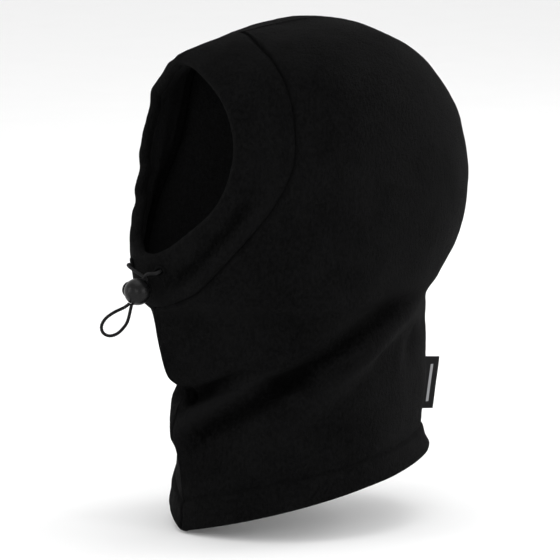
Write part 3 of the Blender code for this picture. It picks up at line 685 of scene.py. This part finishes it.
def cutting_rod(name, path_points, half_long, half_wide, long_way, wide_way):
    """A rod of oval section along a short straight path, to cut with."""
    rings = []
    for point in path_points:
        rings.append([point + long_way * (half_long * math.cos(a)) + wide_way * (half_wide * math.sin(a))
                      for a in np.linspace(0, math.tau, 20, endpoint=False)])
    return piece(name, np.array(rings).reshape(-1, 3), ring_faces(len(rings), 20), None, None)


def carve(thing, tools):
    """Cuts the tools out of a piece for good."""
    for tool in tools:
        step = thing.modifiers.new("carve", "BOOLEAN")
        step.operation = "DIFFERENCE"
        step.solver = "EXACT"
        step.object = tool
    bpy.context.view_layer.update()
    shaped = bpy.data.meshes.new_from_object(thing.evaluated_get(bpy.context.evaluated_depsgraph_get()))
    thing.modifiers.clear()
    finish = thing.data.materials[0]
    thing.data = shaped
    shaped.materials.clear()
    shaped.materials.append(finish)
    shaped.set_sharp_from_angle(angle=math.radians(60))
    for tool in tools:
        bpy.data.objects.remove(tool)
    return thing


def hole_frame(side):
    """The buttonhole's middle on the band's face, and the ways along the band, across it and out."""
    seam, along, out, width, _ = (v[0] for v in band_frame(np.array([HOLE_PLACE])))
    swell = BAND_CROWN * 4 * HOLE_SHARE * (1 - HOLE_SHARE)
    middle = seam + along * (width * HOLE_SHARE) + out * swell
    flip = np.array([side, 1, 1])
    return middle * flip, np.cross(along, out) * flip, along * flip, out * flip


def face_band(finish):
    points, painted_shading = band_mesh()
    rings, count = points.shape[:2]
    band = piece("band_of_fleece", points.reshape(-1, 3), ring_faces(rings, count, True), finish, None,
                 painted_shading=painted_shading.ravel())
    tools = []
    for side in (1.0, -1.0):
        middle, around, along, out = hole_frame(side)
        ends = [middle + out * 3.0, middle - out * (BAND_PLY + 1.2)]
        tools.append(cutting_rod(f"slit_{int(side)}", ends, 2.7, 1.7, around, along))
    carve(band, tools)
    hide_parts("face_band")
    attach(band, "hood")
    return band


# ---- hood panels

def panel_columns():
    edge = np.array([0, 0.004, 0.009, 0.015, 0.022, 0.031, 0.042])
    return np.concatenate([edge, np.linspace(0.054, 0.946, 104), 1 - edge[::-1]])


def panel_mesh(side):
    columns = panel_columns()
    ribs = np.concatenate([[0.004, 0.07, 0.18], np.linspace(0.32, 10.9, 84), np.linspace(11.0, 17.75, 82),
                           [17.85, 17.92, 17.97, 18.02, 18.07, 18.13, 18.2, 18.3, 18.4, 18.5, 18.6, 18.7,
                            18.8]])
    depth = FLEECE + FLEECE * smooth(ribs, 17.93, 18.02)
    turns = np.radians((22.5, 45, 67.5, 90, 112.5, 135, 157.5))
    rib_all = np.concatenate([ribs, 18.88 + 0.12 * np.sin(turns), ribs[::-1]])
    rib_all[len(ribs) - 1] = 18.86
    rib_all[len(ribs) + len(turns)] = 18.86
    depth_all = np.concatenate([0 * ribs, FLEECE * (1 - np.cos(turns)), depth[::-1]])
    grid_rib = np.repeat(rib_all[:, None], len(columns), 1)
    grid_across = np.repeat(columns[None], len(rib_all), 0)
    face, _ = panel_face(grid_rib, grid_across, side, np.repeat(depth_all[:, None], len(columns), 1))
    ease = smooth(grid_rib, 9.6, 10.6) * (1 - smooth(grid_rib, 11.6, 12.6)) * smooth(grid_across, 0.02, 0.12)
    ease *= 1 - smooth(grid_across, 0.93, 0.99)
    for _ in range(60):
        face[1:-1] += (0.5 * ease[1:-1, :, None]) * ((face[:-2] + face[2:]) / 2 - face[1:-1])
    folds = fold_height(hood_face(grid_rib, grid_across), FOLDS_LEFT if side > 0 else FOLDS_RIGHT)
    # Painted shade and light: the colour is painted darker along the creases and paler along the ridges of
    # the folds; the inner face rows get 2, painted paler as painted light inside the hood.
    painted_shading = np.clip(0.5 + folds / 9, 0, 1)
    painted_shading[len(ribs) + len(turns):] = 2
    return face, len(ribs), len(turns), painted_shading


def hood_panel(name, side, finish, node):
    grid, outer, rolled, painted_shading = panel_mesh(side)
    rows, columns = grid.shape[:2]
    faces = []
    for i in range(rows):
        j = (i + 1) % rows
        for k in range(columns - 1):
            faces.append((i * columns + k, i * columns + k + 1, j * columns + k + 1, j * columns + k))
    for k in (0, columns - 1):
        for i in range(outer - 1):
            a, b = i, i + 1
            c, d = rows - 2 - i, rows - 1 - i
            faces.append((a * columns + k, b * columns + k, c * columns + k, d * columns + k))
        faces.append(tuple(i * columns + k for i in range(outer - 1, outer + rolled + 1)))
    panel = piece(name, grid.reshape(-1, 3), faces, finish, "hood", (node,), painted_shading.ravel())
    return panel


# ---- seam allowances, stitches and cords

def overlock(name, line, inward, aside, width, height, cloth, thread, node, closed):
    """A seam allowance: a soft raised edge of cloth, with the overlock thread wound over it."""
    half = width / 2
    section = [(-half, -0.2), (-half, 0.45), (-half * 0.8, 0.8), (-half * 0.35, 1.0), (half * 0.35, 1.0),
               (half * 0.8, 0.8), (half, 0.45), (half, -0.2)]
    wave = 0.25 * np.sin(np.arange(len(line)) * 0.9) + 0.2 * np.sin(np.arange(len(line)) * 0.37)
    rings = [[p + s * (a + w) + n * (b * height) for a, b in section]
             for p, s, n, w in zip(line, aside, inward, wave)]
    ridge = piece(name, np.array(rings).reshape(-1, 3), ring_faces(len(rings), len(section), closed), cloth,
                  "hood", (node,))
    run = np.concatenate([[0], np.cumsum(np.linalg.norm(np.diff(line, axis=0), axis=1))])
    steps = int(run[-1] / 0.42)
    at = np.linspace(0, run[-1], steps, endpoint=not closed)
    pick = [np.stack([np.interp(at, run, v[:, k]) for k in range(3)], 1) for v in (line, aside, inward)]
    phase = at * math.tau / 4.4
    over = np.sin(phase)
    lift = height * (1.03 - 0.42 * over ** 4) + 0.12
    path = pick[0] + pick[1] * ((half + 0.1) * over)[:, None] + pick[2] * lift[:, None]
    tube(name + "_thread", path, 0.2, thread, "hood", 5)
    return ridge


def face_seam_allowance(cloth, thread):
    places = np.linspace(0, 22, 321)[:-1]
    left = places <= LAST_BAND_RIB
    rib = np.clip(np.where(left, places, 22 - places), 0.9, LAST_BAND_RIB - 0.35)
    flip = np.where(left[:, None], (1.0, 1.0, 1.0), (-1.0, 1.0, 1.0))
    seam = band_frame(places)[0]
    out = hood_out(rib, 0.0) * flip
    back = (hood_face(rib, 0.04) - hood_face(rib, 0.0)) * flip
    centre = (places < 0.01) | (abs(places - LAST_BAND_RIB) < 0.01)
    out[centre, 0] = 0
    back[centre, 0] = 0
    out = unit(out)
    back = unit(back - out * (back * out).sum(-1, keepdims=True))
    line = seam + back * 4.3 - out * (BAND_AT_SEAM + 0.3)
    overlock("face_seam_allowance", line, -out, back, 5.0, 2.7, cloth, thread, "face_seam_overlock", True)


def centre_allowance(name, ribs, across, sink, width, cloth, thread, node):
    line, out = hood_face(ribs, across), hood_out(ribs, across)
    line[:, 0] = 0
    line = line - out * sink
    aside = np.repeat([[1.0, 0, 0]], len(ribs), 0)
    overlock(name, line, -out, aside, width, 2.6, cloth, thread, node, False)


HEM_STITCH_PITCH, HEM_STITCH_LENGTH, HEM_STITCH_RADIUS = 3.3, 2.6, 0.22


def hem_stitches(thread):
    """One line of separate stitches round the top of the hem, each sunk at its ends."""
    across = np.linspace(0.006, 0.994, 900)
    line = []
    for side in (1.0, -1.0):
        face, _ = panel_face(np.full_like(across, HEM_TOP_RIB), across, side)
        line.append(face if side > 0 else face[::-1])
    line = np.concatenate(line)
    run = np.concatenate([[0], np.cumsum(np.linalg.norm(np.diff(line, axis=0), axis=1))])
    middle = line.mean(0)
    points, faces = [], []
    for start in np.arange(0.8, run[-1] - 3.2, HEM_STITCH_PITCH):
        at = start + np.linspace(0, HEM_STITCH_LENGTH, 6)
        path = np.stack([np.interp(at, run, line[:, k]) for k in range(3)], 1)
        out = unit((path - middle) * np.array([1, 1, 0]))
        path = path + out * (0.35 * np.sin(np.linspace(0.15, math.pi - 0.15, 6)) - 0.12)[:, None]
        rings = tube_rings(path, HEM_STITCH_RADIUS, 6)
        faces += ring_faces(6, 6, False, len(points))
        points += list(rings.reshape(-1, 3))
    piece("hem_stitches", points, faces, thread, "hood", ("hem_topstitch",))


def tunnel_middle(place):
    seam, along, out, width, _ = band_frame(place)
    lift = gathers(place, np.ones_like(place)) - BAND_ROLL
    return seam + along * (width - BAND_ROLL)[:, None] + out * lift[:, None]


def band_spot(place, share, depth):
    """A place on the band by its share of the whole width, without puckers."""
    seam, along, out, width, _ = (v[0] for v in band_frame(np.array([place])))
    return seam + along * (width * share) + out * (BAND_CROWN * 4 * share * (1 - share) - depth)


def tunnel_cord(name, side, finish, node):
    places = np.linspace(0.18, 9.0, 60)
    line = tunnel_middle(places if side > 0 else 22 - places)
    tail = [band_spot(9.35, 0.82, BAND_ROLL), band_spot(9.64, 0.73, BAND_ROLL),
            band_spot(HOLE_PLACE - 0.01, HOLE_SHARE, 3.2), band_spot(HOLE_PLACE, HOLE_SHARE, 1.2),
            band_spot(HOLE_PLACE, HOLE_SHARE, -0.4)]
    tail = np.array(tail) * (side, 1, 1)
    path = along_route(np.concatenate([line, tail]), 420)
    tube(name, path, CORD_RADIUS, finish, "hood", 10, braid=0.12, replaces=(node,))


def strand_path(side):
    """From a buttonhole over the band's face and through the ball."""
    middle, _, _, out = hole_frame(side)
    start = middle + out * 0.4
    entry = BALL - CORD_AXIS * BALL_RADIUS + CORD_SIDE * (CORD_SPREAD * side)
    route = [start + out * 0.6, start + out * 2.8 + unit(entry - start) * 1.2,
             (start + entry) / 2 + np.array((0, -2.6, 1.0))]
    for share, shift in ((-1.2, 1.2), (-0.85, 0.3), (-0.4, 0), (0, 0), (0.5, 0), (1.0, 0)):
        route.append(BALL + CORD_AXIS * (BALL_RADIUS * share) + CORD_SIDE * (CORD_SPREAD * side)
                     + np.array((shift * side, 0, 0)))
    return along_route(route, 130)


def loop_path():
    ends = [BALL + CORD_AXIS * (BALL_RADIUS + 0.3) + CORD_SIDE * (CORD_SPREAD * s) for s in (1, -1)]
    beyond = [end + CORD_AXIS * 1.2 for end in ends]
    middle = [BALL + np.array((0, y, z)) for y, z in LOOP]
    return along_route([ends[0], beyond[0]] + middle + [beyond[1], ends[1]], 200)


def cord_pieces(finish):
    """The two strands and the loop; the strands stretch and the loop shortens as the lock slides."""
    for name, side, node in (("strand_left", 1.0, "cord_strand_left"),
                             ("strand_right", -1.0, "cord_strand_right")):
        path = strand_path(side)
        strand = tube(name, path, CORD_RADIUS, finish, None, 14, braid=0.13, replaces=(node,))
        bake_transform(strand)
    path = loop_path()
    loop = tube("pull_loop", path, CORD_RADIUS, finish, "cord", 14, braid=0.13, replaces=("cord_loop",))
    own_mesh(loop)


def buttonhole(name, side, thread, node):
    """A slit bound with close stitches: one thread wound round an oval."""
    middle, around, along, out = hole_frame(side)
    turns, per_turn = 46, 9
    path = []
    for i in range(turns * per_turn):
        a, b = math.tau * i / (turns * per_turn), math.tau * i / per_turn
        radial = around * math.cos(a) / 3.7 + along * math.sin(a) / 2.8
        spoke = unit(radial)
        base = middle + around * (3.7 * math.cos(a)) + along * (2.8 * math.sin(a)) + out * 0.35
        path.append(base + spoke * (0.75 * math.cos(b)) + out * (0.42 * math.sin(b)))
    tube(name, path, 0.19, thread, "hood", 5, True, replaces=(node,))


def end_bartack(thread):
    """The bar of thread round the two cord ends at the top of the fold."""
    middle = tunnel_middle(np.array([0.0]))[0]
    out, along = band_frame(np.array([0.0]))[2][0], band_frame(np.array([0.0]))[1][0]
    path = []
    for i in range(90):
        a = math.tau * i / 10
        path.append(middle + np.array((1.3 * (i / 89 - 0.5), 0, 0)) + out * (1.1 * math.cos(a))
                    + along * (1.1 * math.sin(a)))
    tube("end_bartack", path, 0.17, thread, "hood", 5, replaces=("cord_end_bartack",))


# ---- cord lock

def turned(name, outline, finish, sides=64):
    """A body turned about the lock's own axis, along X through the ball's middle."""
    rings = [[BALL + np.array((x, r * math.cos(a), r * math.sin(a)))
              for a in np.linspace(0, math.tau, sides, endpoint=False)] for x, r in outline]
    return piece(name, np.array(rings).reshape(-1, 3), ring_faces(len(rings), sides), finish, None)


def flared_rod(name, way, stretch, sides=40):
    """A rod to cut with; stretch lists how far along the way each radius lies."""
    way = unit(np.asarray(way, float))
    aside = unit(np.cross(way, (0.2, 0.1, 0.97)))
    third = np.cross(way, aside)
    rings = [[BALL + way * d + (aside * math.cos(a) + third * math.sin(a)) * r
              for a in np.linspace(0, math.tau, sides, endpoint=False)] for d, r in stretch]
    return piece(name, np.array(rings).reshape(-1, 3), ring_faces(len(rings), sides), None, None)


def lock_ball(finish):
    outline = []
    for a in np.linspace(0.03, math.pi - 0.03, 72):
        x = -BALL_RADIUS * math.cos(a)
        parting = 0.07 * math.exp(-((x - 1.2) / 0.16) ** 2)
        outline.append((x, BALL_RADIUS * math.sin(a) - parting))
    ball = turned("lock_ball", outline, finish, 96)
    bore = flared_rod("bore", (-1, 0, 0), ((-6.0, 4.2), (7.0, 4.2), (7.35, 4.35), (7.7, 4.8), (20, 4.8)))
    channel = flared_rod("channel", CORD_AXIS, ((-14, 4.2), (-8.2, 3.15), (-7.6, 2.8), (-7.0, 2.7),
                                                (7.0, 2.7), (7.6, 2.8), (8.2, 3.15), (14, 4.2)))
    carve(ball, [bore, channel])
    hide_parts("lock_barrel")
    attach(ball, "lock")


def lock_button(finish):
    outline = [(-11.2, 0.3), (-11.2, 2.4), (-11.16, 3.4), (-11.02, 4.2), (-10.75, 4.75), (-10.4, 5.05),
               (-10.0, 5.18), (-9.6, 5.2), (-9.35, 5.15), (-9.15, 5.0), (-9.0, 4.75), (-9.0, 4.0),
               (-8.9, 3.9), (-4.0, 3.9), (0.0, 3.9), (3.0, 3.9), (3.25, 3.82), (3.4, 3.6), (3.4, 0.3)]
    button = turned("lock_button", outline, finish, 72)
    ends = [BALL + CORD_AXIS * reach - (0.8, 0, 0) for reach in (-7, 7)]
    slot = cutting_rod("slot", ends, 3.5, 2.95, np.array((1.0, 0, 0)), CORD_SIDE)
    carve(button, [slot])
    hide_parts("lock_plunger")
    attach(button, "plunger")


def coil_spring(finish):
    """The coil between the button's stem and the floor of the bore; it shortens as the button goes in."""
    turn = np.linspace(0, 2.5 * math.tau, 90)
    path = np.stack([np.linspace(3.95, 5.7, 90), 2.8 * np.cos(turn), 2.8 * np.sin(turn)], 1) + BALL
    spring = tube("coil_spring", path, 0.18, finish, "lock", 8, replaces=("lock_spring",))
    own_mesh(spring)


# ---- label

def side_label(finish):
    """A ribbon folded at its outer edge, a little bowed, with both ends in the back seam."""
    heights, reaches = 26, 16
    points = []
    corners = [np.array((0, *c)) for c in (LABEL_ROOT_TOP, LABEL_TIP_TOP, LABEL_ROOT_FOOT, LABEL_TIP_FOOT)]
    sink = (0, 1.1, 0)
    corners[0] = corners[0] - sink
    corners[2] = corners[2] - sink
    half, fold = 0.42, 0.975
    section = []
    for u in np.linspace(0, fold, reaches):
        section.append((u, half))
    for a in (30, 60, 90, 120, 150):
        section.append((fold + 0.024 * math.sin(math.radians(a)), half * math.cos(math.radians(a))))
    for u in np.linspace(fold, 0, reaches):
        section.append((u, -half))
    for v in np.linspace(0, 1, heights):
        root, tip = corners[0] * (1 - v) + corners[2] * v, corners[1] * (1 - v) + corners[3] * v
        for u, x in section:
            bow = 0.55 * math.sin(math.pi * v) * u * u + 0.25 * math.sin(7 * v + 1) * u * u
            pinch = 1 - 0.45 * (1 - u) ** 3
            points.append(root * (1 - u) + tip * u + np.array((x * pinch + bow, 0, 0)))
    faces = ring_faces(heights, len(section))
    piece("side_label", points, faces, finish, "label", ("flag_label",))


def main():
    right, up, back = place_camera()
    light_studio(right, up, back)
    lay_floor(floor_finish("pale_floor"))
    cord = cord_finish("braided_elastic", (0.003, 0.003, 0.0032), (0.012, 0.012, 0.0125))
    plastic = plastic_finish("satin_plastic", (0.0025, 0.0025, 0.0026), (0.005, 0.005, 0.0052))
    lock_ball(plastic)
    lock_button(plastic)
    cord_pieces(cord)
    fleece = fleece_finish("brushed_fleece", (0.0003, 0.0003, 0.0003), (0.0068, 0.0068, 0.0070))
    band_fleece = fleece_finish("band_fleece", (0.0003, 0.0003, 0.0003), (0.0066, 0.0066, 0.0068))
    edge_cloth = fleece_finish("allowance_cloth", (0.003, 0.003, 0.0031), (0.011, 0.011, 0.0113))
    thread = thread_finish("black_thread", (0.0015, 0.0015, 0.0016), (0.006, 0.006, 0.0062))
    hood_panel("panel_left", 1.0, fleece, "hood_panel_left")
    hood_panel("panel_right", -1.0, fleece, "hood_panel_right")
    face_band(band_fleece)
    face_seam_allowance(edge_cloth, thread)
    centre_allowance("crown_back_allowance", np.linspace(1.35, 17.0, 200), 1.0, FLEECE + 0.45 - 0.3, 5.0,
                     edge_cloth, thread, "crown_back_overlock")
    centre_allowance("front_allowance", np.linspace(12.0, 17.0, 80), 0.0, FLEECE + 2.6, 3.0, edge_cloth,
                     thread, "front_overlock")
    hem_stitches(thread)
    tunnel_cord("tunnel_cord_left", 1.0, cord, "drawcord_left")
    tunnel_cord("tunnel_cord_right", -1.0, cord, "drawcord_right")
    end_bartack(thread)
    buttonhole("bound_slit_left", 1.0, thread, "buttonhole_left")
    buttonhole("bound_slit_right", -1.0, thread, "buttonhole_right")
    side_label(label_finish("label_satin_stripes"))
    coil_spring(steel_finish("drawn_steel"))


main()
